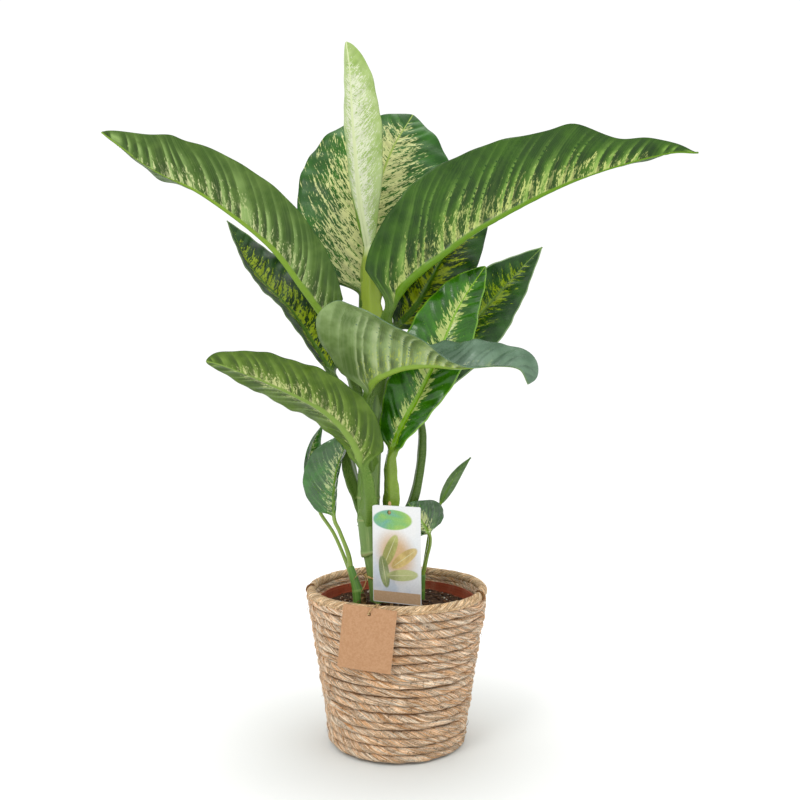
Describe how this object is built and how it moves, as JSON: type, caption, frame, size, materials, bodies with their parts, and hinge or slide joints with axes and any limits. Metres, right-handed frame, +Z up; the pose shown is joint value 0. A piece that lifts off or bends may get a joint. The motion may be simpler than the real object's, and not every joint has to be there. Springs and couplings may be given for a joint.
{
  "type": "potted dieffenbachia",
  "caption": "Variegated dieffenbachia with arching cream-flecked leaves, in a plastic nursery pot inside a coiled seagrass basket, with a plain care card and a kraft tag",
  "frame": {"origin": "middle of the basket's underside, on the surface it stands on", "axes": "+Z up along the plant, +X to the right and -Y towards the front, where the card and the tag hang"},
  "size_m": [0.5753, 0.2178, 0.7312],
  "materials": {
    "seagrass_rope": "dry twisted grass rope, matte, straw to brown",
    "grass_wrap": "flat dried leaf strips wound over the rim, matte",
    "pot_plastic": "thin moulded terracotta-coloured polypropylene",
    "potting_soil": "dark peat with bark and perlite, very rough",
    "stem_green": "smooth fleshy green stem, slight sheen",
    "leaf_mature": "dark green leaf with cream flecks, glossy above, matte grey-green below",
    "leaf_pale": "newly unrolled pale cream-green leaf, soft sheen",
    "leaf_fresh": "bright green young leaf, glossy",
    "bud_sheath": "dry brown-green papery sheath",
    "card_laminate": "printed and laminated card, satin",
    "bamboo": "split bamboo stick, matte",
    "raffia": "dry raffia strand, slight sheen",
    "kraft_board": "uncoated brown kraft board",
    "twine": "thin twisted twine, matte"
  },
  "bodies": {
    "root": {"basal_bud": "bud_sheath", "basket_body": "seagrass_rope", "basket_rim": "grass_wrap", "card_stick": "bamboo", "care_card": "card_laminate", "kraft_tag": "kraft_board", "leaf_back": "leaf_mature", "leaf_front": "leaf_mature", "leaf_left_back": "leaf_mature", "leaf_lower_left": "leaf_mature", "leaf_newest": "leaf_pale", "leaf_right": "leaf_mature", "leaf_right_back": "leaf_mature", "leaf_shoot_behind": "leaf_fresh", "leaf_shoot_left": "leaf_fresh", "leaf_shoot_right": "leaf_fresh", "leaf_shoot_tip": "leaf_fresh", "leaf_upper_left": "leaf_mature", "leaf_upper_right": "leaf_mature", "leaf_young": "leaf_fresh", "main_cane": "stem_green", "nursery_pot": "pot_plastic", "raffia_tie": "raffia", "shoot_stem_left": "stem_green", "shoot_stem_right": "stem_green", "soil": "potting_soil", "tag_string": "twine"}
  },
  "joints": []
}
